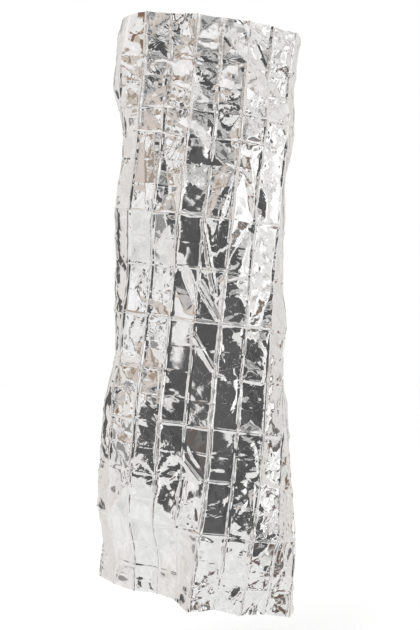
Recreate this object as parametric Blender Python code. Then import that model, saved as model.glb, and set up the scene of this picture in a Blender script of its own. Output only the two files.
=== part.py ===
"""Emergency foil blanket, hung by its top edge and wrapped back at both sides.

One film sheet, 1.32 m x 2.13 m when laid flat, with the fold lines of its pack:
14 columns and 12 rows.  It hangs open at the back.  Its fold lines lean,
because the sheet is caught a little askew, and its hem swings forward with one
deep pleat at the left.  Units are metres, +Z is up and -Y is the front.
"""
import math
from collections import namedtuple

import bpy
import numpy as np

# Flat sheet: s runs across from its left edge, t runs down from its top edge
WIDTH = 1.32
LENGTH = 2.13
THICKNESS = 0.0015
COLUMNS = 14
FIRST_ROW = 0.163
ROW_PITCH = 0.187
ROWS = 11

# How it hangs
TURN = math.radians(6.5)
TAKE_UP_DOWN = 0.983
TAKE_UP_ACROSS = 0.97
KINK = 0.5
MIDDLE_FOLD = 7
HELD_FOLD = 5

# Relief of the fold lines, of the panels between them and of the long creases
COLUMN_RIDGE = 0.0070
ROW_RIDGE = 0.0045
BELLY = 0.0070
CREASE_HALF_WIDTH = 0.022

# Mesh cells in one column panel and in one row panel, and steps of a plan curve
ACROSS = 3
DOWN = 4
PLAN_STEPS = 660

# Plan of the drape at eleven heights.  share is the share of the length, x and y
# place the middle fold, and the rest is each panel's heading in degrees:
# 0 runs along the front to the right, 90 runs straight back.
Section = namedtuple(
    "Section",
    ["share", "x", "y"] + ["panel_%d" % (n + 1) for n in range(COLUMNS)],
)
SECTIONS = (
    Section(0.00, 0.140, 0.030,
            -140, -75, -35, -14, -10, -2, 4, 15, 30, 65, 115, 120, 130, 145),
    Section(0.09, 0.125, 0.010,
            -140, -75, -10, -10, -15, -2, 8, 14, 40, 65, 105, 120, 130, 145),
    Section(0.20, 0.105, -0.010,
            -140, -95, -40, -20, -10, -4, 4, 14, 32, 70, 105, 120, 130, 145),
    Section(0.33, 0.075, -0.010,
            -140, -115, -40, -25, -12, 2, 6, 15, 28, 70, 100, 120, 130, 145),
    Section(0.45, 0.050, -0.010,
            -140, -115, -45, -28, -12, -26, 2, 2, 26, 55, 100, 120, 130, 145),
    Section(0.57, 0.025, -0.010,
            -140, -115, -64, -30, -10, -25, 0, -2, 14, 40, 95, 120, 130, 145),
    Section(0.68, 0.005, -0.015,
            -140, -110, -56, -36, 2, -8, -4, -2, 6, 25, 85, 115, 130, 145),
    Section(0.80, -0.015, -0.020,
            -135, -110, -52, -38, 0, -8, -8, -4, 8, 10, 68, 108, 130, 145),
    Section(0.86, -0.032, -0.020,
            -135, -110, -50, -42, 2, -30, -15, -2, 4, 2, 55, 95, 130, 142),
    Section(0.92, -0.050, -0.018,
            -130, -110, -45, -42, 10, -42, -44, 4, 0, 2, 40, 82, 125, 140),
    Section(1.00, -0.075, 0.005,
            -130, -105, -35, -45, 20, -50, -60, 25, 8, 10, 12, 70, 120, 140),
)

# Long slanting creases: upper end, lower end and height on the flat sheet
Crease = namedtuple("Crease", "upper_s upper_t lower_s lower_t height")
CREASES = (
    Crease(0.57, 0.07, 0.66, 0.16, 0.008),
    Crease(0.65, 0.08, 0.76, 0.20, -0.008),
    Crease(0.38, 0.37, 0.47, 0.44, 0.007),
    Crease(0.47, 0.37, 0.57, 0.45, -0.007),
    Crease(0.86, 0.30, 0.67, 0.44, 0.007),
    Crease(0.35, 0.47, 0.38, 0.68, 0.008),
    Crease(0.70, 0.44, 0.76, 0.67, -0.007),
    Crease(0.66, 0.52, 0.59, 0.72, 0.009),
    Crease(0.40, 0.58, 0.46, 0.71, -0.008),
    Crease(0.42, 0.73, 0.47, 0.86, 0.007),
    Crease(0.56, 0.74, 0.63, 0.99, 0.008),
    Crease(0.72, 0.75, 0.66, 0.90, -0.009),
    Crease(0.49, 0.93, 0.55, 1.04, -0.007),
    Crease(0.57, 0.97, 0.65, 1.08, 0.008),
    Crease(0.83, 1.00, 0.80, 1.11, -0.008),
    Crease(0.57, 1.15, 0.65, 1.26, 0.007),
    Crease(0.55, 1.58, 0.63, 1.66, 0.008),
    Crease(0.37, 1.74, 0.31, 1.81, 0.007),
    Crease(0.57, 1.91, 0.64, 1.99, -0.008),
    Crease(0.93, 1.82, 0.87, 1.91, 0.008),
)


def fold_lines():
    """Return where the column folds and row folds cross the flat sheet."""
    across = np.linspace(0.0, WIDTH, COLUMNS + 1)
    rows = FIRST_ROW + ROW_PITCH * np.arange(ROWS)
    down = np.concatenate([[0.0], rows, [LENGTH]])
    return across, down


def between(shares, at, values):
    """Run a smooth cubic through the table's rows, read at the asked shares."""
    slope = np.gradient(values, shares, axis=0)
    row = np.searchsorted(shares, at, side="right") - 1
    row = np.clip(row, 0, len(shares) - 2)
    gap = (shares[row + 1] - shares[row])[:, None]
    u = (at - shares[row])[:, None] / gap
    upper = (2 * u**3 - 3 * u**2 + 1) * values[row]
    lower = (3 * u**2 - 2 * u**3) * values[row + 1]
    leave = (u**3 - 2 * u**2 + u) * gap * slope[row]
    arrive = (u**3 - u**2) * gap * slope[row + 1]
    return upper + lower + leave + arrive


def plan_headings(panels, along):
    """Heading at each place along the cloth: half a kink at every fold, half a bend."""
    across, _ = fold_lines()
    number = np.clip(np.searchsorted(across, along) - 1, 0, COLUMNS - 1)
    centres = (across[1:] + across[:-1]) / 2
    left = np.clip(np.searchsorted(centres, along) - 1, 0, COLUMNS - 2)
    share = (along - centres[left]) / (centres[left + 1] - centres[left])
    share = np.clip(share, 0.0, 1.0)
    bend = panels[:, left] * (1 - share) + panels[:, left + 1] * share
    return np.radians(KINK * panels[:, number] + (1 - KINK) * bend)


def drape(s, t):
    """Place the flat sheet's points (s across, t down) on the hanging drape.

    At each height, short steps along the heading add up to x and y.  The turn
    of the sheet in its own plane lowers z towards the right.
    """
    across, _ = fold_lines()
    table = np.array(SECTIONS, float)
    rows = between(table[:, 0], t / LENGTH, table[:, 1:])
    fine = np.linspace(0.0, WIDTH, PLAN_STEPS + 1)
    heading = plan_headings(rows[:, 2:], (fine[1:] + fine[:-1]) / 2)
    step = WIDTH / PLAN_STEPS * math.cos(TURN) * TAKE_UP_ACROSS
    start = np.zeros((len(t), 1))
    run_x = np.hstack([start, np.cumsum(np.cos(heading) * step, axis=1)])
    run_y = np.hstack([start, np.cumsum(np.sin(heading) * step, axis=1)])
    places = np.append(s, across[MIDDLE_FOLD])
    x = np.array([np.interp(places, fine, run) for run in run_x])
    y = np.array([np.interp(places, fine, run) for run in run_y])
    x = x[:, :-1] - x[:, -1:] + rows[:, 0:1]
    y = y[:, :-1] - y[:, -1:] + rows[:, 1:2]
    drop = t[:, None] * math.cos(TURN) * TAKE_UP_DOWN
    z = -drop - (s - across[MIDDLE_FOLD])[None, :] * math.sin(TURN)
    return np.stack([x, y, z], axis=2)


def fold_relief(s, t):
    """Fold lines stand as ridges and valleys by turns, and panels belly in or out."""
    across, down = fold_lines()
    column = np.clip(np.searchsorted(across, s, side="right") - 1, 0, COLUMNS - 1)
    row = np.clip(np.searchsorted(down, t, side="right") - 1, 0, ROWS)
    u = (s - across[column]) / (across[column + 1] - across[column])
    v = (t - down[row]) / (down[row + 1] - down[row])
    column_fold = COLUMN_RIDGE * (1 - 2 * u) * np.where(column % 2, 1, -1)
    row_fold = ROW_RIDGE * (1 - 2 * v) * np.where(row % 2, -1, 1)
    belly = np.sin(2.4 * column[None, :] + 4.1 * row[:, None] + 0.8)
    dome = np.sin(math.pi * u)[None, :] * np.sin(math.pi * v)[:, None]
    return column_fold[None, :] + row_fold[:, None] + BELLY * belly * dome


def crease_relief(s, t):
    """Soft ridges and troughs along the long slanting creases."""
    height = np.zeros((len(t), len(s)))
    for crease in CREASES:
        run_s = crease.lower_s - crease.upper_s
        run_t = crease.lower_t - crease.upper_t
        length = math.hypot(run_s, run_t)
        away_s = s[None, :] - crease.upper_s
        away_t = t[:, None] - crease.upper_t
        along = (away_s * run_s + away_t * run_t) / length**2
        beside = (away_s * run_t - away_t * run_s) / length
        beyond = np.maximum(0.0, np.abs(along - 0.5) - 0.5) * length
        spread = (beside**2 + beyond**2) / CREASE_HALF_WIDTH**2
        height += crease.height * np.exp(-spread)
    return height


def sheet_points(s, t):
    """Drape plus relief, measured from the spot where the top edge is held."""
    place = drape(s, t)
    across_run = np.gradient(place, axis=1)
    down_run = np.gradient(place, axis=0)
    front = np.cross(down_run, across_run)
    front = front / np.linalg.norm(front, axis=2, keepdims=True)
    height = fold_relief(s, t) + crease_relief(s, t)
    place = place + front * height[:, :, None]
    across, _ = fold_lines()
    held = int(np.argmin(np.abs(s - across[HELD_FOLD])))
    return place - place[0, held]


def split(lines, parts):
    """Cut every panel between two fold lines into the same number of cells."""
    cells = [np.linspace(a, b, parts + 1)[:-1] for a, b in zip(lines, lines[1:])]
    return np.concatenate(cells + [lines[-1:]])


def grid_mesh(name, points):
    """Make a mesh of quads from a grid of points, its faces towards the front."""
    rows, columns = points.shape[:2]
    index = np.arange(rows * columns).reshape(rows, columns)
    corners = [index[:-1, :-1], index[1:, :-1], index[1:, 1:], index[:-1, 1:]]
    quads = np.stack(corners, axis=2).reshape(-1, 4)
    mesh = bpy.data.meshes.new(name)
    mesh.from_pydata(points.reshape(-1, 3).tolist(), [], quads.tolist())
    mesh.shade_smooth()
    return mesh


def film_material():
    """Bright film with a thin metal coat."""
    material = bpy.data.materials.new("silver_film")
    material.use_nodes = True
    shader = material.node_tree.nodes["Principled BSDF"]
    shader.inputs["Base Color"].default_value = (0.83, 0.84, 0.85, 1.0)
    shader.inputs["Metallic"].default_value = 1.0
    shader.inputs["Roughness"].default_value = 0.12
    return material


def build_sheet():
    """Make the one film sheet: a surface on the drape, given its thickness."""
    across, down = fold_lines()
    points = sheet_points(split(across, ACROSS), split(down, DOWN))
    mesh = grid_mesh("foil_sheet", points)
    mesh.materials.append(film_material())
    sheet = bpy.data.objects.new("foil_sheet", mesh)
    bpy.context.scene.collection.objects.link(sheet)
    film = sheet.modifiers.new("film_thickness", "SOLIDIFY")
    film.thickness = THICKNESS
    film.offset = 0.0
    film.use_even_offset = True


for old in list(bpy.data.objects):
    bpy.data.objects.remove(old)
build_sheet()
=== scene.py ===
# %% [markdown]
# # Emergency foil blanket
# The real object is one rectangle of thin plastic film with a bright metal coat,
# unfolded from its pack and hung by its top edge.  Three things make it look as
# it does: the grid of sharp fold lines from the pack, the crumpled facets between
# them, and a mirror finish that shows the room in every facet.  This file makes
# the sheet as one surface on the drape of its solid, then adds the film finish.
# Lengths are metres, +Z is up and -Y is the front.

# %% Load the fixed frame
import math
from collections import namedtuple

import bpy
import numpy as np
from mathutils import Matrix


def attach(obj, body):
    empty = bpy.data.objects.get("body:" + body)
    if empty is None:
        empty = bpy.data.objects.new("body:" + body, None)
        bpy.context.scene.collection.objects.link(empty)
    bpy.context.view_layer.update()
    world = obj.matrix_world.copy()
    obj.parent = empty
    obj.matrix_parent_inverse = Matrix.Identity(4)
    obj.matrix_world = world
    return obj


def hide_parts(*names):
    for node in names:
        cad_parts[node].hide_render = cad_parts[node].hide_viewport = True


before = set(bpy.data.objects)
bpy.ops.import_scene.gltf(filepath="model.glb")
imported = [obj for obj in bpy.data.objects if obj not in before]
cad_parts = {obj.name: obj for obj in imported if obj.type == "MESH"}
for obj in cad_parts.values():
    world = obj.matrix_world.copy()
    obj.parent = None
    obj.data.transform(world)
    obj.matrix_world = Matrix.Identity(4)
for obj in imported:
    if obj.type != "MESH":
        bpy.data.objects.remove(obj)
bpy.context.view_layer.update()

# %% [markdown]
# ## The flat sheet and its folds
# The sheet was folded into 14 equal columns and, across them, into 12 rows, and
# each row was halved once more.  Places are given on the flat sheet: s runs
# across from the left edge and t runs down from the top edge.  The same sizes
# shape the solid, so both agree.

# %% Sizes of the flat sheet
WIDTH = 1.32
LENGTH = 2.13
COLUMNS = 14
FIRST_ROW = 0.163
ROW_PITCH = 0.187
ROW_FOLDS = 11
PANEL_WIDTH = WIDTH / COLUMNS
column_lines = np.linspace(0.0, WIDTH, COLUMNS + 1)
row_lines = np.concatenate([[0.0], FIRST_ROW + ROW_PITCH * np.arange(ROW_FOLDS), [LENGTH]])
half_lines = np.sort(np.append(row_lines, (row_lines[1:] + row_lines[:-1]) / 2))
print("columns of", round(PANEL_WIDTH * 1000, 1), "mm, rows of", ROW_PITCH * 1000, "mm")

# %% [markdown]
# ## How it hangs
# The top edge is caught a little askew, so all fold lines lean by a few degrees.
# At any height the sheet makes one plan curve: it runs along the front, turns
# back at both sides and stays open behind.  A table of headings, one for each
# column panel at eleven heights, is the shortest way to say this, because a
# curve built from headings never stretches the film.  A heading of 0 degrees runs
# along the front to the right, and 90 runs straight back.  Share is the share of
# the length below the top edge, and x and y place the middle fold there.
# Crumpling takes up a little of the film both ways, and half of each turn is a
# kink at the fold itself.

# %% Sizes of the drape
TURN = math.radians(6.5)
TAKE_UP_DOWN = 0.983
TAKE_UP_ACROSS = 0.97
KINK = 0.5
MIDDLE_FOLD = 7
HELD_FOLD = 5
PLAN_STEPS = 660
panel_names = ["panel_%d" % (number + 1) for number in range(COLUMNS)]
Section = namedtuple("Section", ["share", "x", "y"] + panel_names)
SECTIONS = (
    Section(0.00, 0.140, 0.030, -140, -75, -35, -14, -10, -2, 4, 15, 30, 65, 115, 120, 130, 145),
    Section(0.09, 0.125, 0.010, -140, -75, -10, -10, -15, -2, 8, 14, 40, 65, 105, 120, 130, 145),
    Section(0.20, 0.105, -0.010, -140, -95, -40, -20, -10, -4, 4, 14, 32, 70, 105, 120, 130, 145),
    Section(0.33, 0.075, -0.010, -140, -115, -40, -25, -12, 2, 6, 15, 28, 70, 100, 120, 130, 145),
    Section(0.45, 0.050, -0.010, -140, -115, -45, -28, -12, -26, 2, 2, 26, 55, 100, 120, 130, 145),
    Section(0.57, 0.025, -0.010, -140, -115, -64, -30, -10, -25, 0, -2, 14, 40, 95, 120, 130, 145),
    Section(0.68, 0.005, -0.015, -140, -110, -56, -36, 2, -8, -4, -2, 6, 25, 85, 115, 130, 145),
    Section(0.80, -0.015, -0.020, -135, -110, -52, -38, 0, -8, -8, -4, 8, 10, 68, 108, 130, 145),
    Section(0.86, -0.032, -0.020, -135, -110, -50, -42, 2, -30, -15, -2, 4, 2, 55, 95, 130, 142),
    Section(0.92, -0.050, -0.018, -130, -110, -45, -42, 10, -42, -44, 4, 0, 2, 40, 82, 125, 140),
    Section(1.00, -0.075, 0.005, -130, -105, -35, -45, 20, -50, -60, 25, 8, 10, 12, 70, 120, 140),
)
print("plans at", len(SECTIONS), "heights, turned by", round(math.degrees(TURN), 1), "degrees")


# %% The drape as a surface of two parameters
def between(shares, at, values):
    """Smooth cubic through the table's rows: position and slope match at each row."""
    slope = np.gradient(values, shares, axis=0)
    row = np.clip(np.searchsorted(shares, at, side="right") - 1, 0, len(shares) - 2)
    gap = (shares[row + 1] - shares[row])[:, None]
    u = (at - shares[row])[:, None] / gap
    upper = (2 * u**3 - 3 * u**2 + 1) * values[row]
    lower = (3 * u**2 - 2 * u**3) * values[row + 1]
    leave = (u**3 - 2 * u**2 + u) * gap * slope[row]
    arrive = (u**3 - u**2) * gap * slope[row + 1]
    return upper + lower + leave + arrive


def plan_headings(panels, along):
    """Heading along the cloth = half the panel's own + half a straight blend to its neighbours."""
    number = np.clip(np.searchsorted(column_lines, along) - 1, 0, COLUMNS - 1)
    centres = (column_lines[1:] + column_lines[:-1]) / 2
    left = np.clip(np.searchsorted(centres, along) - 1, 0, COLUMNS - 2)
    share = np.clip((along - centres[left]) / (centres[left + 1] - centres[left]), 0.0, 1.0)
    bend = panels[:, left] * (1 - share) + panels[:, left + 1] * share
    return np.radians(KINK * panels[:, number] + (1 - KINK) * bend)


def drape(s, t):
    """x, y = running sum of steps along the heading; z falls with t, and with s by the turn."""
    table = np.array(SECTIONS, float)
    rows = between(table[:, 0], t / LENGTH, table[:, 1:])
    fine = np.linspace(0.0, WIDTH, PLAN_STEPS + 1)
    heading = plan_headings(rows[:, 2:], (fine[1:] + fine[:-1]) / 2)
    step = WIDTH / PLAN_STEPS * math.cos(TURN) * TAKE_UP_ACROSS
    start = np.zeros((len(t), 1))
    run_x = np.hstack([start, np.cumsum(np.cos(heading) * step, axis=1)])
    run_y = np.hstack([start, np.cumsum(np.sin(heading) * step, axis=1)])
    places = np.append(s, column_lines[MIDDLE_FOLD])
    x = np.array([np.interp(places, fine, run) for run in run_x])
    y = np.array([np.interp(places, fine, run) for run in run_y])
    x = x[:, :-1] - x[:, -1:] + rows[:, 0:1]
    y = y[:, :-1] - y[:, -1:] + rows[:, 1:2]
    drop = t[:, None] * math.cos(TURN) * TAKE_UP_DOWN
    z = -drop - (s - column_lines[MIDDLE_FOLD])[None, :] * math.sin(TURN)
    return np.stack([x, y, z], axis=2)


hung = drape(column_lines, row_lines)
print("drape", np.ptp(hung, axis=(0, 1)).round(3), "wide, deep and high")

# %% [markdown]
# ## How crumpled each place is
# The film is rough near the top, low on both sides and at the right end of the
# hem, and smooth high on the left, in some middle panels and over the rest of the
# hem.  A noise would spread the crumple by chance, so a short table of soft spots
# says where it lies, and scales it.

# %% Rough and smooth areas
Area = namedtuple("Area", "s t reach_s reach_t change")
AREAS = (
    Area(0.66, 0.20, 0.38, 0.30, 0.65),
    Area(0.32, 0.58, 0.07, 0.20, -0.75),
    Area(0.52, 0.84, 0.05, 0.14, -0.85),
    Area(0.43, 0.80, 0.04, 0.10, -0.50),
    Area(0.43, 1.95, 0.16, 0.24, -0.85),
    Area(0.67, 1.92, 0.13, 0.09, -0.85),
    Area(0.60, 1.40, 0.18, 0.38, -0.60),
    Area(0.31, 1.04, 0.05, 0.28, -0.70),
    Area(0.51, 1.10, 0.05, 0.22, -0.70),
    Area(0.34, 0.07, 0.05, 0.08, -0.75),
    Area(0.85, 1.90, 0.12, 0.20, 0.30),
    Area(0.86, 0.66, 0.10, 0.34, -0.60),
    Area(0.40, 1.85, 0.13, 0.13, -0.60),
    Area(0.78, 2.05, 0.20, 0.10, 0.80),
    Area(0.70, 1.60, 0.05, 0.25, -0.50),
    Area(0.80, 1.68, 0.05, 0.17, 1.20),
    Area(0.71, 0.65, 0.05, 0.16, -0.75),
    Area(0.53, 0.62, 0.05, 0.12, -0.60),
    Area(0.52, 1.73, 0.05, 0.07, 0.80),
    Area(0.77, 1.89, 0.09, 0.08, -0.85),
    Area(0.32, 1.52, 0.06, 0.20, 0.90),
    Area(0.89, 1.58, 0.05, 0.22, 0.80),
    Area(0.51, 1.68, 0.06, 0.07, 0.70),
    Area(0.41, 1.18, 0.04, 0.12, 0.40),
    Area(0.36, 1.68, 0.05, 0.12, 0.60),
    Area(0.61, 1.58, 0.04, 0.12, -0.50),
    Area(0.80, 1.24, 0.04, 0.07, 0.90),
)
ROUGHNESS_LIMITS = (0.08, 1.8)


def roughness(s, t):
    """1 everywhere, plus each area's change * exp(-(distance / reach)^2)."""
    total = 1.0
    for area in AREAS:
        away = ((s - area.s) / area.reach_s) ** 2 + ((t - area.t) / area.reach_t) ** 2
        total = total + area.change * np.exp(-away)
    return np.clip(total, *ROUGHNESS_LIMITS)


crossings = roughness(column_lines[None, :], row_lines[:, None])
print(len(AREAS), "areas, roughness", crossings.min().round(2), "to", crossings.max().round(2))

# %% [markdown]
# ## The folds of the pack
# Each column line stands as a ridge or a valley by turns, as in the solid, and
# each panel swells in or out as the solid's does.  Film does not swell as a round
# dome: it makes a flat-sided pyramid with edges that run to the panel's corners.
# Smaller pyramids of uneven length lie over it, so no two panels look alike.

# %% Low relief of folds and panels
COLUMN_RIDGE = 0.0070
ROW_RIDGE = 0.0045
BELLY = 0.0070
BELLY_ACROSS = 2.4
BELLY_DOWN = 4.1
BELLY_START = 0.8
SWELL = 0.0055
SWELL_SLIP = 0.014
SWELL_CUTS = (0.3, 0.7)
PEAK_SHARES = (0.25, 0.75)
PANEL_LIMITS = (0.15, 1.2)
PANEL_SEED = 11


def zigzag(along, lines, height):
    """+height on the first line, -height on the next, straight between."""
    return np.interp(along, lines, height * (-1.0) ** np.arange(len(lines)))


def tent(share, peak):
    """0 at both ends, 1 at the peak, straight between."""
    return np.where(share < peak, share / peak, (1 - share) / (1 - peak))


def pyramids(u, t, edges, height, random):
    """For each cell between two edges: height * min(tent across, tent down), peaks by chance."""
    cell = np.clip(np.searchsorted(edges, t, side="right") - 1, 0, len(edges) - 2)
    v = (t - edges[cell]) / (edges[cell + 1] - edges[cell])
    peak_u = random.uniform(*PEAK_SHARES, len(edges))[cell]
    peak_v = random.uniform(*PEAK_SHARES, len(edges))[cell]
    across, down = tent(u[None, :], peak_u[:, None]), tent(v, peak_v)[:, None]
    return height[cell][:, None] * np.minimum(across, down)


def fold_relief(s, t):
    """Zigzag across + zigzag down + the solid's swells as pyramids + smaller pyramids."""
    random = np.random.default_rng(PANEL_SEED)
    relief = np.zeros((len(t), len(s)))
    rows = np.arange(len(row_lines))
    for column in range(COLUMNS):
        inside = np.nonzero((s >= column_lines[column]) & (s <= column_lines[column + 1]))[0]
        u = (s[inside] - column_lines[column]) / PANEL_WIDTH
        belly = BELLY * np.sin(BELLY_ACROSS * column + BELLY_DOWN * rows + BELLY_START)
        relief[:, inside] += pyramids(u, t, row_lines, belly, random)
        slip = random.uniform(-SWELL_SLIP, SWELL_SLIP, len(row_lines) - 2)
        edges = row_lines + np.concatenate([[0.0], slip, [0.0]])
        cuts = edges[:-1] + random.uniform(*SWELL_CUTS, len(edges) - 1) * np.diff(edges)
        edges = np.sort(np.append(edges, cuts))
        swell = SWELL * random.uniform(-1, 1, len(edges))
        relief[:, inside] += pyramids(u, t, edges, swell, random)
    relief = relief * np.clip(roughness(s[None, :], t[:, None]), *PANEL_LIMITS)
    columns = zigzag(s, column_lines, -COLUMN_RIDGE)[None, :]
    return relief + columns + zigzag(t, row_lines, ROW_RIDGE)[:, None]


crossing_heights = np.unique(fold_relief(column_lines, row_lines).round(4))
print("crossings stand at", crossing_heights * 1000, "mm")

# %% [markdown]
# ## Pinched fold lines
# Pressed folds in film do not open flat: a narrow pinched rib stays along each
# line, a few millimetres wide, and it catches light from both sides.  The rib is
# a bell profile across the line whose height wanders along it.  Not every row
# line is pressed as hard, so a list gives the sharpness of each row line and
# half-row line, from the top down, and each panel has a chance share of it.

# %% Pinched ribs along the lines
COLUMN_RIB = 0.0040
ROW_RIB = 0.0020
RIB_HALF_WIDTH = 0.0048
ROW_RIB_HALF_WIDTH = 0.0036
RIB_DRIFT = 0.0030
ROW_SHARP = (
    0.3, 0.5, 0.3, 1.3, 1.2, 0.4, 0.3, 1.3, 0.2, 1.0, 0.3, 1.4,
    0.2, 0.8, 0.3, 1.0, 0.3, 0.8, 0.3, 1.2, 0.3, 1.0, 0.3,
)
RIB_SHARES = (0.1, 1.5)
RIB_SEED = 7
COLUMN_DRIFT_SEED = 40
ROW_DRIFT_SEED = 60
ROW_HEIGHT_SEED = 80
COLUMN_DRIFT_WAVE = 0.35
ROW_DRIFT_WAVE = 0.2
HEIGHT_WAVE = 0.11
WAVE_FACTORS = (1.0, 0.61, 2.3)
WAVE_SHARE = 0.2


def wander(along, seed, wave=HEIGHT_WAVE):
    """1 + 0.2 * (three sines with seeded phases): a slow uneven value from 0.4 to 1.6."""
    phases = np.random.default_rng(seed).uniform(0, 2 * math.pi, len(WAVE_FACTORS))
    turns = [2 * math.pi * along / (wave * factor) for factor in WAVE_FACTORS]
    return 1 + WAVE_SHARE * sum(np.sin(turn + phase) for turn, phase in zip(turns, phases))


def line_ribs(s, t):
    """Sum over lines of height * exp(-(distance / half width)^2)."""
    height = np.zeros((len(t), len(s)))
    for number, line in enumerate(column_lines[1:-1]):
        drift = RIB_DRIFT * (wander(t, COLUMN_DRIFT_SEED + number, COLUMN_DRIFT_WAVE) - 1)
        away = (s[None, :] - line - drift[:, None]) / RIB_HALF_WIDTH
        height += COLUMN_RIB * wander(t, number)[:, None] * np.exp(-away**2)
    column = np.clip(np.searchsorted(column_lines, s, side="right") - 1, 0, COLUMNS - 1)
    random = np.random.default_rng(RIB_SEED)
    for number, line in enumerate(half_lines[1:-1]):
        share = random.uniform(*RIB_SHARES, COLUMNS)[column]
        slip = random.uniform(-RIB_DRIFT, RIB_DRIFT, COLUMNS)[column]
        slip = slip + RIB_DRIFT * (wander(s, ROW_DRIFT_SEED + number, ROW_DRIFT_WAVE) - 1)
        away = (t[:, None] - line - slip[None, :]) / ROW_RIB_HALF_WIDTH
        share = share * wander(s, ROW_HEIGHT_SEED + number)
        height += ROW_RIB * ROW_SHARP[number] * share[None, :] * np.exp(-away**2)
    return height


print("ribs on", COLUMNS - 1, "column lines and", len(ROW_SHARP), "row and half-row lines")

# %% [markdown]
# ## Facets of crumpled film
# Film cannot stretch, so where it is crumpled it breaks into flat facets between
# sharp edges.  Heights at the corners of a triangular lattice, joined by flat
# triangles, give such facets.  A pattern of cells would leave steps between them,
# and film has none.  Bending the lattice first hides its regularity.

# %% Flat facets from a lattice
LATTICE = 64
BEND_PITCH = 0.8
BEND_SHIFTS = (9, 5)
Facets = namedtuple("Facets", "height size stretch angle bend seed")
FACETS = (
    Facets(0.0050, 0.085, 1.4, 0.4, 0.10, 3),
    Facets(0.0024, 0.048, 1.5, -0.6, 0.15, 8),
)


def corners(u, v, seed):
    """Random values at the four lattice corners round each place, and its shares between them."""
    table = np.random.default_rng(seed).uniform(-1, 1, (LATTICE, LATTICE))
    low_u, low_v = np.floor(u).astype(int), np.floor(v).astype(int)
    i, next_i = low_u % LATTICE, (low_u + 1) % LATTICE
    j, next_j = low_v % LATTICE, (low_v + 1) % LATTICE
    return table[i, j], table[next_i, j], table[i, next_j], table[next_i, next_j], u - low_u, v - low_v


def soft_noise(u, v, seed):
    """Smooth noise: the four corners' values, blended with smoothstep."""
    here, right, up, far, a, b = corners(u, v, seed)
    a, b = a * a * (3 - 2 * a), b * b * (3 - 2 * b)
    near_row = here * (1 - a) + right * a
    far_row = up * (1 - a) + far * a
    return near_row * (1 - b) + far_row * b


def facets(s, t, kind):
    """Height of flat triangles between random corner heights on a bent triangular lattice."""
    u = (s * math.cos(kind.angle) + t * math.sin(kind.angle)) / kind.size
    v = (t * math.cos(kind.angle) - s * math.sin(kind.angle)) / (kind.size * kind.stretch)
    u = u + kind.bend * soft_noise(u * BEND_PITCH + BEND_SHIFTS[0], v * BEND_PITCH, kind.seed + 1)
    v = v + kind.bend * soft_noise(u * BEND_PITCH, v * BEND_PITCH + BEND_SHIFTS[1], kind.seed + 2)
    here, right, up, far, a, b = corners(u - v / 2, v, kind.seed)
    near_side = here + a * (right - here) + b * (up - here)
    far_side = far + (1 - a) * (up - far) + (1 - b) * (right - far)
    return kind.height * np.where(a + b < 1, near_side, far_side)


print("facets of", [round(kind.size * 1000) for kind in FACETS], "mm")

# %% [markdown]
# ## Needles
# The small creases in film are needles: long, slim and straight, with flat sides
# that meet in a sharp edge.  Each is a pyramid on a long diamond.  Over half of
# them start at a crossing of folds and run out from it, and the rest lie free.
# They are real relief and not a bump, so they show along the sheet's sides too.

# %% Diamond pyramids
Needles = namedtuple("Needles", "count length slim height seed")
NEEDLES = (
    Needles(380, 0.120, 0.30, 0.0046, 21),
    Needles(500, 0.100, 0.13, 0.0018, 24),
    Needles(1200, 0.050, 0.22, 0.0006, 22),
)
NEEDLE_LENGTHS = (0.5, 1.4)
FREE_SHARE = 0.45


def needle_relief(s, t):
    """Sum of height * max(0, 1 - |along| / half length - |beside| / half width)."""
    total = np.zeros((len(t), len(s)))
    for kind in NEEDLES:
        random = np.random.default_rng(kind.seed)
        angle = random.uniform(0, 2 * math.pi, kind.count)
        half = kind.length / 2 * random.uniform(*NEEDLE_LENGTHS, kind.count)
        node_s = random.choice(column_lines, kind.count)
        node_t = random.choice(half_lines, kind.count)
        free = random.uniform(0, 1, kind.count) < FREE_SHARE
        free_s = random.uniform(0, WIDTH, kind.count)
        free_t = random.uniform(0, LENGTH, kind.count)
        middle_s = np.where(free, free_s, node_s + half * np.cos(angle))
        middle_t = np.where(free, free_t, node_t + half * np.sin(angle))
        height = kind.height * random.uniform(-1, 1, kind.count) * roughness(middle_s, middle_t)
        low_s, high_s = np.searchsorted(s, middle_s - half), np.searchsorted(s, middle_s + half)
        low_t, high_t = np.searchsorted(t, middle_t - half), np.searchsorted(t, middle_t + half)
        for n in range(kind.count):
            ds = s[low_s[n]:high_s[n]][None, :] - middle_s[n]
            dt = t[low_t[n]:high_t[n]][:, None] - middle_t[n]
            along = np.abs(ds * math.cos(angle[n]) + dt * math.sin(angle[n])) / half[n]
            beside = np.abs(dt * math.cos(angle[n]) - ds * math.sin(angle[n])) / (half[n] * kind.slim)
            shape = np.maximum(0.0, 1 - along - beside)
            total[low_t[n]:high_t[n], low_s[n]:high_s[n]] += height[n] * shape
    return total


def crumple(s, t):
    """Flat facets of all sizes * roughness, plus the needles."""
    flat_s, flat_t = np.meshgrid(s, t)
    height = sum(facets(flat_s, flat_t, kind) for kind in FACETS)
    return height * roughness(flat_s, flat_t) + needle_relief(s, t)


print(sum(kind.count for kind in NEEDLES), "needles of", len(NEEDLES), "kinds")

# %% [markdown]
# ## Stars at the crossings
# Where two folds cross, film makes a small cone: creases run out from the
# crossing like a star.  A cone's height is a jagged function of the angle times
# a straight rise from the crossing and a straight fall to the rim.

# %% Cones at the crossings
STAR_HEIGHT = 0.0030
STAR_RIMS = (0.030, 0.062)
STAR_RAYS = 9
STAR_SIZES = (0.4, 1.2)
STAR_TOP = 0.4
STAR_LIMITS = (0.3, 1.3)
STAR_SEED = 5
HALF_ROW_SHARE = 0.55


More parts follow.
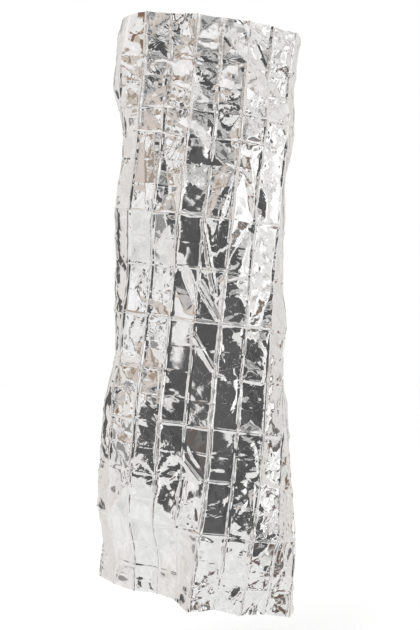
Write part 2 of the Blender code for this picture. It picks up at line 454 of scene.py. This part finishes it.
def stars(s, t):
    """Sum over crossings of jagged(angle) * tent(radius / rim): straight up, then straight down."""
    height = np.zeros((len(t), len(s)))
    lines = [(line, 1.0) for line in row_lines[1:-1]]
    lines += [(line, HALF_ROW_SHARE) for line in (row_lines[2:-1] + row_lines[1:-2]) / 2]
    knots = np.linspace(0, 2 * math.pi, STAR_RAYS + 1)
    random = np.random.default_rng(STAR_SEED)
    for line, strength in lines:
        for column in column_lines[1:-1]:
            rim = random.uniform(*STAR_RIMS)
            jag = random.uniform(-1, 1, STAR_RAYS)
            size = random.uniform(*STAR_SIZES)
            rows = np.nonzero(np.abs(t - line) < rim)[0]
            cols = np.nonzero(np.abs(s - column) < rim)[0]
            ds = s[cols][None, :] - column
            dt = t[rows][:, None] - line
            angle = np.arctan2(dt, ds) + math.pi
            shape = np.interp(angle, knots, np.append(jag, jag[0]))
            slopes = np.clip(tent(np.hypot(ds, dt) / rim, STAR_TOP), 0, 1)
            height[np.ix_(rows, cols)] += STAR_HEIGHT * strength * size * shape * slopes
    return height * np.clip(roughness(s[None, :], t[:, None]), *STAR_LIMITS)


print("stars of", STAR_RAYS, "rays, up to", STAR_RIMS[1] * 1000, "mm from each crossing")

# %% [markdown]
# ## Long creases
# The solid's long slanting creases lie here again, at the same places on the flat
# sheet.  On the solid each is a soft bell.  Here it has flat sides and a sharp
# top, as pressed film has, and the ones that the photo shows slim are narrow.

# %% Long creases at listed places
CREASE_HALF_WIDTH = 0.039
NARROW = 0.013
crease_fields = "upper_s upper_t lower_s lower_t height half_width"
Crease = namedtuple("Crease", crease_fields, defaults=(CREASE_HALF_WIDTH,))
LONG_CREASES = (
    Crease(0.57, 0.07, 0.66, 0.16, 0.008),
    Crease(0.65, 0.08, 0.76, 0.20, -0.008),
    Crease(0.38, 0.37, 0.47, 0.44, 0.007),
    Crease(0.47, 0.37, 0.57, 0.45, -0.007),
    Crease(0.86, 0.30, 0.67, 0.44, 0.007),
    Crease(0.35, 0.47, 0.38, 0.68, 0.008),
    Crease(0.70, 0.44, 0.76, 0.67, -0.007),
    Crease(0.66, 0.52, 0.59, 0.72, 0.009),
    Crease(0.40, 0.58, 0.46, 0.71, -0.008),
    Crease(0.42, 0.73, 0.47, 0.86, 0.007),
    Crease(0.56, 0.74, 0.63, 0.99, 0.008, NARROW),
    Crease(0.72, 0.75, 0.66, 0.90, -0.009),
    Crease(0.49, 0.93, 0.55, 1.04, -0.007),
    Crease(0.57, 0.97, 0.65, 1.08, 0.008, NARROW),
    Crease(0.83, 1.00, 0.80, 1.11, -0.008),
    Crease(0.57, 1.15, 0.65, 1.26, 0.007, NARROW),
    Crease(0.55, 1.58, 0.63, 1.66, 0.008, NARROW),
    Crease(0.37, 1.74, 0.31, 1.81, 0.007),
    Crease(0.57, 1.91, 0.64, 1.99, -0.008),
    Crease(0.93, 1.82, 0.87, 1.91, 0.008),
)


def crease_relief(s, t):
    """Sum over creases of height * max(0, 1 - distance to the run / half width)."""
    height = np.zeros((len(t), len(s)))
    for crease in LONG_CREASES:
        run_s = crease.lower_s - crease.upper_s
        run_t = crease.lower_t - crease.upper_t
        length = math.hypot(run_s, run_t)
        away_s = s[None, :] - crease.upper_s
        away_t = t[:, None] - crease.upper_t
        along = (away_s * run_s + away_t * run_t) / length**2
        beside = (away_s * run_t - away_t * run_s) / length
        beyond = np.maximum(0.0, np.abs(along - 0.5) - 0.5) * length
        height += crease.height * np.maximum(0.0, 1 - np.hypot(beside, beyond) / crease.half_width)
    return height


print(len(LONG_CREASES), "long creases")

# %% [markdown]
# ## Leaves
# Some single facets of the photo stand out by their shape: long leaves with two
# pointed ends and one edge between two flat sides.  They are listed from
# one end to the other; lean says where the edge lies between the two sides.

# %% Single facets at listed places
Leaf = namedtuple("Leaf", "start_s start_t end_s end_t wide lean height")
LEAVES = (
    Leaf(0.655, 0.955, 0.760, 0.930, 0.036, 0.85, 0.0080),
    Leaf(0.670, 0.990, 0.755, 0.985, 0.022, 0.80, 0.0050),
    Leaf(0.655, 0.560, 0.600, 0.835, 0.034, 0.20, 0.0085),
    Leaf(0.655, 1.275, 0.705, 1.300, 0.024, 0.80, 0.0060),
    Leaf(0.575, 1.535, 0.640, 1.625, 0.020, 0.30, 0.0050),
    Leaf(0.650, 1.605, 0.730, 1.610, 0.014, 0.60, 0.0045),
    Leaf(0.785, 1.620, 0.855, 1.600, 0.034, 0.70, 0.0080),
    Leaf(0.855, 1.800, 0.915, 1.715, 0.050, 0.30, 0.0090),
    Leaf(0.580, 1.880, 0.640, 1.970, 0.022, 0.20, 0.0070),
    Leaf(0.580, 1.808, 0.650, 1.822, 0.012, 0.30, -0.0040),
    Leaf(0.585, 0.175, 0.650, 0.225, 0.045, 0.20, 0.0080),
    Leaf(0.590, 0.300, 0.660, 0.268, 0.032, 0.80, 0.0060),
    Leaf(0.455, 0.325, 0.680, 0.318, 0.034, 0.85, 0.0062),
    Leaf(0.370, 0.325, 0.475, 0.335, 0.034, 0.80, 0.0045),
    Leaf(0.385, 1.955, 0.475, 1.950, 0.012, 0.50, 0.0045),
    Leaf(0.440, 0.010, 0.462, 0.090, 0.022, 0.80, 0.0060),
    Leaf(0.300, 0.205, 0.370, 0.170, 0.034, 0.70, 0.0060),
    Leaf(0.300, 0.230, 0.345, 0.290, 0.030, 0.30, -0.0050),
    Leaf(0.340, 1.790, 0.390, 1.640, 0.034, 0.70, 0.0070),
    Leaf(0.850, 1.970, 0.950, 1.970, 0.026, 0.20, 0.0065),
    Leaf(0.500, 1.690, 0.560, 1.625, 0.034, 0.30, 0.0060),
    Leaf(0.830, 1.630, 0.840, 1.780, 0.032, 0.25, 0.0080),
    Leaf(0.775, 1.775, 0.812, 1.705, 0.034, 0.75, 0.0085),
    Leaf(0.850, 1.510, 0.862, 1.600, 0.018, 0.75, 0.0050),
    Leaf(0.885, 1.480, 0.910, 1.585, 0.016, 0.60, 0.0050),
    Leaf(0.850, 1.730, 0.910, 1.735, 0.026, 0.25, 0.0060),
    Leaf(0.845, 1.768, 0.910, 1.758, 0.030, 0.80, 0.0070),
    Leaf(0.845, 1.795, 0.940, 1.785, 0.010, 0.40, 0.0030),
    Leaf(0.795, 1.975, 0.850, 1.928, 0.020, 0.20, 0.0050),
    Leaf(0.870, 2.068, 0.962, 2.062, 0.010, 0.30, 0.0028),
    Leaf(0.958, 1.830, 0.995, 1.960, 0.020, 0.70, 0.0050),
    Leaf(0.455, 1.130, 0.463, 1.470, 0.020, 0.20, 0.0036),
    Leaf(0.386, 1.150, 0.388, 1.700, 0.012, 0.35, -0.0032),
    Leaf(0.290, 1.295, 0.360, 1.360, 0.014, 0.40, 0.0035),
    Leaf(0.295, 1.345, 0.362, 1.405, 0.012, 0.60, -0.0035),
    Leaf(0.300, 1.400, 0.366, 1.452, 0.014, 0.40, 0.0038),
    Leaf(0.330, 1.600, 0.382, 1.770, 0.034, 0.35, -0.0065),
    Leaf(0.820, 1.525, 0.832, 1.590, 0.016, 0.30, 0.0050),
    Leaf(0.730, 1.868, 0.870, 1.862, 0.046, 0.85, 0.0060),
    Leaf(0.625, 1.872, 0.725, 1.878, 0.044, 0.85, 0.0050),
)
LEAF_TIP = 1e-6


def leaf_relief(s, t):
    """Sum over leaves of height * width left at this place * tent across that width."""
    height = np.zeros((len(t), len(s)))
    for leaf in LEAVES:
        run_s, run_t = leaf.end_s - leaf.start_s, leaf.end_t - leaf.start_t
        length = math.hypot(run_s, run_t)
        away_s = s[None, :] - leaf.start_s
        away_t = t[:, None] - leaf.start_t
        along = 2 * (away_s * run_s + away_t * run_t) / length**2 - 1
        beside = 2 * (away_s * run_t - away_t * run_s) / length / leaf.wide
        left = np.maximum(1 - np.abs(along), LEAF_TIP)
        height += leaf.height * left * np.maximum(0.0, tent((beside / left + 1) / 2, leaf.lean))
    return height


print(len(LEAVES), "leaves, up to", max(leaf.height for leaf in LEAVES) * 1000, "mm high")

# %% [markdown]
# ## The grid of the sheet
# The grid has more lines where folds are sharp and where the front shows, and
# fewer in the parts that wrap to the back.  Cells at a fold are half as wide as
# even ones, which an even grid would reach with twice as many lines both ways.

# %% Grid lines
FRONT_PANELS = range(2, 11)
FRONT_CELLS = 22
BACK_CELLS = 10
ROW_CELLS = 17
LEAST_ROW_CELLS = 4
CROWD = 0.5


def crowded(parts):
    """Shares from 0 to 1 that crowd at both ends: u - crowd * sin(2 pi u) / (2 pi)."""
    u = np.arange(parts) / parts
    return u - CROWD * np.sin(2 * math.pi * u) / (2 * math.pi)


def grid_lines(lines, parts):
    """Places of all grid lines between the given fold lines."""
    cells = [a + (b - a) * crowded(n) for a, b, n in zip(lines, lines[1:], parts)]
    return np.concatenate(cells + [lines[-1:]])


def row_cells(gap):
    """Cells down a half row: in step with its length, and never fewer than the least."""
    return max(LEAST_ROW_CELLS, round(ROW_CELLS * gap / (ROW_PITCH / 2)))


across_parts = [FRONT_CELLS if n in FRONT_PANELS else BACK_CELLS for n in range(COLUMNS)]
down_parts = [row_cells(gap) for gap in np.diff(half_lines)]
grid_s = grid_lines(column_lines, across_parts)
grid_t = grid_lines(half_lines, down_parts)
print("grid", len(grid_s), "x", len(grid_t), "triangles", 2 * (len(grid_s) - 1) * (len(grid_t) - 1))


# %% Points of the whole sheet
def sheet_points(s, t):
    """Drape + (all reliefs) * direction that faces the front, measured from the held spot."""
    place = drape(s, t)
    across_run = np.gradient(place, s, axis=1)
    down_run = np.gradient(place, t, axis=0)
    front = np.cross(down_run, across_run)
    front = front / np.linalg.norm(front, axis=2, keepdims=True)
    height = fold_relief(s, t) + crease_relief(s, t)
    held = int(np.argmin(np.abs(s - column_lines[HELD_FOLD])))
    origin = place[0, held] + front[0, held] * height[0, held]
    height = height + line_ribs(s, t) + crumple(s, t) + stars(s, t) + leaf_relief(s, t)
    return place + front * height[:, :, None] - origin


points = sheet_points(grid_s, grid_t)
print("reach", points.min(axis=(0, 1)).round(3), points.max(axis=(0, 1)).round(3))

# %% [markdown]
# ## One mesh
# The film is far thinner than a millimetre, so it is one layer of quads with its
# faces to the front, and a modifier for thickness would change nothing that shows.
# The flat sheet's s and t become the UV map, so that a pattern in the finish
# follows the film, and the roughness goes in as a value at each point, for the
# finish to read.


# %% Put the points into a mesh
def grid_mesh(name, points, s, t):
    """Quads between neighbouring points, faces to the front, with s and t as the UV map."""
    rows, columns = points.shape[:2]
    index = np.arange(rows * columns).reshape(rows, columns)
    corners = [index[:-1, :-1], index[1:, :-1], index[1:, 1:], index[:-1, 1:]]
    quads = np.stack(corners, axis=2).reshape(-1, 4)
    mesh = bpy.data.meshes.new(name)
    mesh.from_pydata(points.reshape(-1, 3), [], quads)
    flat_s, flat_t = np.meshgrid(s, t)
    flat = np.stack([flat_s.ravel(), LENGTH - flat_t.ravel()], axis=1)
    loops = np.empty(len(mesh.loops), dtype=np.int32)
    mesh.loops.foreach_get("vertex_index", loops)
    layer = mesh.uv_layers.new(name="flat_sheet")
    layer.data.foreach_set("uv", flat[loops].astype(np.float32).ravel())
    rough = mesh.attributes.new("crumpled", "FLOAT", "POINT")
    rough.data.foreach_set("value", roughness(flat_s, flat_t).astype(np.float32).ravel())
    mesh.shade_smooth()
    return mesh


sheet_mesh = grid_mesh("film_sheet", points, grid_s, grid_t)
print("mesh of", len(sheet_mesh.vertices), "points and", len(sheet_mesh.polygons), "quads")

# %% [markdown]
# ## Short words for nodes
# The finish and the room are both made of nodes that do small sums, and wired by
# hand they would fill pages.  One helper makes any node: an input is a plain value
# or another node's output.  A few short words on top of it keep the rest readable.


# %% Helpers for node trees
def add(tree, kind, inputs, **options):
    """Make a node, set its options, fill its inputs (None is left alone), give its outputs."""
    node = tree.nodes.new("ShaderNode" + kind)
    for name, option in options.items():
        setattr(node, name, option)
    for socket, item in inputs.items():
        if isinstance(item, bpy.types.NodeSocket):
            tree.links.new(item, node.inputs[socket])
        elif item is not None:
            node.inputs[socket].default_value = item
    return node.outputs


def number(tree, operation, a, b=None):
    """One number from one or two others."""
    return add(tree, "Math", {0: a, 1: b}, operation=operation)["Value"]


def vector(tree, operation, a, b=None):
    """One vector from one or two others; SCALE takes a number as b, and LENGTH gives one."""
    second = "Scale" if operation == "SCALE" else 1
    outputs = add(tree, "VectorMath", {0: a, second: b}, operation=operation)
    return outputs["Value" if operation == "LENGTH" else "Vector"]


def noise(tree, place, scale, detail):
    """Smooth noise from 0 to 1."""
    return add(tree, "TexNoise", {"Vector": place, "Scale": scale, "Detail": detail})["Fac"]


def ramp(tree, item, low, high, least=0.0, most=1.0, kind="LINEAR"):
    """least up to low, most from high on, and a straight or smooth way between."""
    inputs = {"Value": item, "From Min": low, "From Max": high, "To Min": least, "To Max": most}
    return add(tree, "MapRange", inputs, interpolation_type=kind)["Result"]


# %% [markdown]
# ## The film's finish
# The coat is a mirror: metallic, pale and very smooth.  What is too small for the
# grid goes into the finish.  First come fans of fine straight creases that run
# out from a point.  A cone whose height is its radius times a noise of the angle
# has just such creases, so each small field of the flat sheet gets one cone.
# They come and go over the sheet.  Then come flat plates: each cell of a random
# pattern leans its own small way, which breaks a reflection along straight lines.
# Both are strong where the film is crumpled.

# %% Film material
FILM_COLOUR = (0.93, 0.93, 0.935, 1.0)
FILM_ROUGHNESS = 0.05
# Scale is fields to the metre, creases says how finely a fan is cut, slope is the
# bump's distance, and the fans come in where a noise rises from low to high
Fans = namedtuple("Fans", "scale creases slope low high")
FANS = (
    Fans(8.0, 2.0, 0.060, 0.42, 0.54),
    Fans(21.0, 1.8, 0.060, 0.54, 0.62),
)
FIELD_SHIFT = 0.37
FIELD_SPREAD = 40.0
RAY_SCALE = 1.0
RAY_DETAIL = 1.0
PRESENCE_SCALE = 7.0
SOFT_DETAIL = 2.0
Plates = namedtuple("Plates", "scale squash tilt")
PLATES = (
    Plates(13.0, 0.75, 0.06),
    Plates(27.0, 1.3, 0.05),
)


def fan_normal(tree, place, crumpled, fan, count, normal):
    """Bump of radius * |noise(direction) - 1/2| about each field's centre."""
    shifted = vector(tree, "ADD", place, (FIELD_SHIFT * count, 0.0, 0.0))
    field = add(tree, "TexVoronoi", {"Vector": shifted, "Scale": fan.scale})
    away = vector(tree, "SUBTRACT", shifted, field["Position"])
    ray = vector(tree, "SCALE", vector(tree, "NORMALIZE", away), fan.creases)
    seeded = vector(tree, "ADD", ray, vector(tree, "SCALE", field["Color"], FIELD_SPREAD))
    rays = noise(tree, seeded, RAY_SCALE, RAY_DETAIL)
    sharp = number(tree, "ABSOLUTE", number(tree, "SUBTRACT", rays, 0.5))
    height = number(tree, "MULTIPLY", sharp, vector(tree, "LENGTH", away))
    present = noise(tree, place, PRESENCE_SCALE + count, SOFT_DETAIL)
    present = ramp(tree, present, fan.low, fan.high)
    strength = number(tree, "MULTIPLY", present, crumpled)
    inputs = {"Strength": strength, "Distance": fan.slope, "Height": height, "Normal": normal}
    return add(tree, "Bump", inputs)["Normal"]


def plate_normal(tree, place, crumpled, plate, normal):
    """The normal + (a random direction for each cell) * tilt * how crumpled it is there."""
    squashed = vector(tree, "MULTIPLY", place, (1.0, plate.squash, 1.0))
    inputs = {"Vector": squashed, "Scale": plate.scale}
    cells = add(tree, "TexVoronoi", inputs, voronoi_dimensions="2D")
    lean = vector(tree, "SUBTRACT", cells["Color"], (0.5, 0.5, 0.5))
    share = number(tree, "MULTIPLY", crumpled, 2.0 * plate.tilt)
    return vector(tree, "ADD", normal, vector(tree, "SCALE", lean, share))


def film_material():
    """Pale metal mirror, with fans of fine creases and flat plates in its normal."""
    material = bpy.data.materials.new("silver_film")
    material.use_nodes = True
    tree = material.node_tree
    shader = tree.nodes["Principled BSDF"]
    shader.inputs["Base Color"].default_value = FILM_COLOUR
    shader.inputs["Metallic"].default_value = 1.0
    shader.inputs["Roughness"].default_value = FILM_ROUGHNESS
    place = add(tree, "UVMap", {}, uv_map="flat_sheet")["UV"]
    crumpled = add(tree, "Attribute", {}, attribute_name="crumpled")["Fac"]
    normal = None
    for count, fan in enumerate(FANS):
        normal = fan_normal(tree, place, crumpled, fan, count, normal)
    for plate in PLATES:
        normal = plate_normal(tree, place, crumpled, plate, normal)
    tree.links.new(vector(tree, "NORMALIZE", normal), shader.inputs["Normal"])
    return material


silver_film = film_material()
print("film of", len(silver_film.node_tree.nodes), "nodes")

# %% [markdown]
# ## The piece
# The mesh and its finish become one object at the origin.  It takes the place of
# the solid and hangs by its top edge.

# %% Make the sheet
sheet_mesh.materials.append(silver_film)
film_sheet = bpy.data.objects.new("film_sheet", sheet_mesh)
bpy.context.scene.collection.objects.link(film_sheet)
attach(film_sheet, "root")
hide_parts("foil_sheet")
print("made", film_sheet.name)

# %% [markdown]
# ## The room that the film mirrors
# The photo's studio is pale, with a dark part behind the camera that the flat
# panels mirror.  The room is a world map of directions, so each facet finds
# something to show, and no lamp or card has to be built and hidden.  A patch is a
# window of directions in degrees, azimuth from left to right and height from low
# to high, with a soft rim, and it covers the patches before it.  The camera itself
# sees a plain pale ground.

# %% Patches of the room
BASE_LOW = (0.84, 0.84, 0.83)
BASE_HIGH = (0.91, 0.89, 0.87)
BASE_RISE = 60
Patch = namedtuple("Patch", "left right low high soft colour")
PATCHES = (
    Patch(-150, -62, -40, 40, 14, (0.79, 0.76, 0.73)),
    Patch(60, 150, -30, 40, 14, (0.77, 0.75, 0.72)),
    Patch(25, 62, -60, 60, 2, (0.80, 0.79, 0.77)),
    Patch(50, 70, -8, 17, 3, (1.05, 1.05, 1.05)),
    Patch(43, 52, -9, -3, 2, (1.05, 1.05, 1.05)),
    Patch(44, 48, 10, 30, 2, (0.46, 0.43, 0.40)),
    Patch(58, 61, 18, 34, 1, (0.28, 0.24, 0.21)),
    Patch(50, 76, 26, 29, 1, (0.38, 0.35, 0.32)),
    Patch(-46, -43, -2, 16, 1, (0.11, 0.10, 0.09)),
    Patch(-58, -50, -2, 14, 2, (1.0, 1.0, 1.0)),
    Patch(56, 70, -17, -8, 1, (0.22, 0.215, 0.21)),
    Patch(44, 74, -24, -13, 2, (0.17, 0.16, 0.15)),
    Patch(-75, -28, 20, 36, 1.5, (0.56, 0.50, 0.44)),
    Patch(-62, -36, 24, 30, 1, (0.34, 0.28, 0.23)),
    Patch(-60, -45, 16, 24, 1, (0.36, 0.30, 0.25)),
    Patch(-35, -27, -17, -3, 2, (0.14, 0.12, 0.11)),
    Patch(-92, -74, 26, 40, 1.5, (0.25, 0.15, 0.11)),
    Patch(-134, -111, -10, 8, 2, (0.11, 0.11, 0.11)),
    Patch(70, 76, -12, 10, 2, (0.24, 0.19, 0.16)),
    Patch(108, 120, -40, -6, 4, (0.20, 0.12, 0.09)),
    Patch(40, 66, -44, -26, 4, (0.16, 0.11, 0.09)),
    Patch(20, 42, -64, -46, 2, (0.15, 0.12, 0.11)),
    Patch(-30, 30, 14, 44, 2, (0.50, 0.495, 0.49)),
    Patch(-44, -20, 11, 40, 1, (0.62, 0.565, 0.52)),
    Patch(-78, -56, -19, 2, 2, (0.32, 0.315, 0.31)),
    Patch(-28, 27, -16, 12, 2, (0.112, 0.112, 0.114)),
    Patch(-11, 10, -24, -14, 1, (0.11, 0.11, 0.11)),
    Patch(-24, 10, 21, 26, 1, (0.17, 0.17, 0.17)),
    Patch(-12, 24, 31, 36, 1, (0.22, 0.215, 0.21)),
    Patch(-9, 9, -11, 10, 3, (0.085, 0.085, 0.087)),
    Patch(154, 178, -12, 30, 8, (0.45, 0.44, 0.43)),
    Patch(-178, -154, -12, 30, 8, (0.45, 0.44, 0.43)),
    Patch(29, 36, -30, 12, 1, (1.25, 1.25, 1.25)),
    Patch(-14, -2, 12.5, 18, 2, (0.80, 0.79, 0.77)),
)
Blotches = namedtuple("Blotches", "scale least most")
BLOTCHES = (Blotches(2.2, 0.90, 1.10), Blotches(9.0, 0.91, 1.08))
BLOTCH_RANGE = (0.3, 0.7)
FLOOR_LIGHT = (1.12, 1.12, 1.12)
BACKDROP = (1.0, 1.0, 1.0)
DEGREES = 180 / math.pi
print(len(PATCHES), "patches")


# %% Room map
def opening(tree, item, low, high, soft):
    """1 between low and high, 0 outside, a smooth step of twice soft at both ends."""
    rise = ramp(tree, item, low - soft, low + soft, kind="SMOOTHSTEP")
    fall = ramp(tree, item, high + soft, high - soft, kind="SMOOTHSTEP")
    return number(tree, "MULTIPLY", rise, fall)


def mix(tree, share, under, over):
    """under * (1 - share) + over * share, for colours."""
    under, over = [item + (1.0,) if isinstance(item, tuple) else item for item in (under, over)]
    return add(tree, "Mix", {"Factor": share, 6: under, 7: over}, data_type="RGBA")[2]


def room_world():
    """Pale base, then each patch over it, then blotches; azimuth 0 is where the camera stands."""
    world = bpy.data.worlds.new("studio_room")
    world.use_nodes = True
    bpy.context.scene.world = world
    tree = world.node_tree
    tree.nodes.clear()
    direction = add(tree, "TexCoord", {})["Generated"]
    axes = add(tree, "SeparateXYZ", {"Vector": direction})
    front = number(tree, "MULTIPLY", axes["Y"], -1.0)
    azimuth = number(tree, "MULTIPLY", number(tree, "ARCTAN2", axes["X"], front), DEGREES)
    height = number(tree, "MULTIPLY", number(tree, "ARCSINE", axes["Z"]), DEGREES)

    rise = ramp(tree, height, -BASE_RISE, BASE_RISE, kind="SMOOTHSTEP")
    room = mix(tree, rise, BASE_LOW, BASE_HIGH)
    for patch in PATCHES:
        across = opening(tree, azimuth, patch.left, patch.right, patch.soft)
        upward = opening(tree, height, patch.low, patch.high, patch.soft)
        room = mix(tree, number(tree, "MULTIPLY", across, upward), room, patch.colour)
    for blotches in BLOTCHES:
        uneven = noise(tree, direction, blotches.scale, SOFT_DETAIL)
        uneven = ramp(tree, uneven, *BLOTCH_RANGE, blotches.least, blotches.most)
        room = vector(tree, "SCALE", room, uneven)

    rays = add(tree, "LightPath", {})
    shown = mix(tree, rays["Is Diffuse Ray"], room, FLOOR_LIGHT)
    shown = mix(tree, rays["Is Camera Ray"], shown, BACKDROP)
    ground = add(tree, "Background", {"Color": shown, "Strength": 1.0})["Background"]
    add(tree, "OutputWorld", {"Surface": ground})
    return world


studio_room = room_world()
print("room of", len(studio_room.node_tree.nodes), "nodes")

# %% [markdown]
# ## Floor and light
# A wide pale floor lies a little below the hem and takes the soft shadow of one
# large lamp.  Neither shows in the film, so the room map alone sets its tones.

# %% Floor and light
FLOOR_Z = -2.45
FLOOR_HALF = 14.0
FLOOR_COLOUR = (0.94, 0.94, 0.94, 1.0)
FLOOR_ROUGHNESS = 0.8
LAMP_PLACE = (-1.2, -1.5, 1.8)
LAMP_TARGET = (0.0, 0.0, -1.2)
LAMP_SIZE = 1.6
LAMP_POWER = 40


def pale_floor():
    """One square, level with FLOOR_Z."""
    mesh = bpy.data.meshes.new("studio_floor")
    sides = ((-1, -1), (1, -1), (1, 1), (-1, 1))
    square = [(FLOOR_HALF * x, FLOOR_HALF * y, FLOOR_Z) for x, y in sides]
    mesh.from_pydata(square, [], [(0, 1, 2, 3)])
    material = bpy.data.materials.new("studio_floor")
    material.use_nodes = True
    shader = material.node_tree.nodes["Principled BSDF"]
    shader.inputs["Base Color"].default_value = FLOOR_COLOUR
    shader.inputs["Roughness"].default_value = FLOOR_ROUGHNESS
    mesh.materials.append(material)
    floor = bpy.data.objects.new("studio_floor", mesh)
    bpy.context.scene.collection.objects.link(floor)
    floor.visible_glossy = False


def soft_lamp():
    """One large area light, turned so that it faces its target."""
    data = bpy.data.lights.new("soft_top", "AREA")
    data.size = LAMP_SIZE
    data.energy = LAMP_POWER
    lamp = bpy.data.objects.new("soft_top", data)
    lamp.location = LAMP_PLACE
    aim = np.array(LAMP_TARGET) - np.array(LAMP_PLACE)
    tilt = math.atan2(math.hypot(aim[0], aim[1]), -aim[2])
    lamp.rotation_euler = (tilt, 0, math.atan2(aim[1], aim[0]) - math.pi / 2)
    lamp.visible_glossy = False
    bpy.context.scene.collection.objects.link(lamp)


pale_floor()
soft_lamp()

# %% [markdown]
# ## Camera
# The camera stands straight in front and level, which fits the photo's outline.
# Its focal length is given in the photo's own pixels, and the lens follows from it.

# %% Camera
CAMERA_DISTANCE = 3.0
SHEET_FRONT_Y = -0.027
CAMERA_X = 0.043
CAMERA_Y = SHEET_FRONT_Y - CAMERA_DISTANCE
CAMERA_Z = -1.063
PHOTO_HEIGHT_PIXELS = 630
FOCAL_PIXELS = 858
SENSOR = 36.0
camera_data = bpy.data.cameras.new("camera")
camera_data.sensor_fit = "VERTICAL"
camera_data.sensor_height = SENSOR
camera_data.lens = FOCAL_PIXELS * SENSOR / PHOTO_HEIGHT_PIXELS
camera = bpy.data.objects.new("camera", camera_data)
camera.location = (CAMERA_X, CAMERA_Y, CAMERA_Z)
camera.rotation_euler = (math.pi / 2, 0.0, 0.0)
bpy.context.scene.collection.objects.link(camera)
bpy.context.scene.camera = camera
bpy.context.scene.view_settings.view_transform = "Standard"
print("lens of", round(camera_data.lens, 1), "mm")
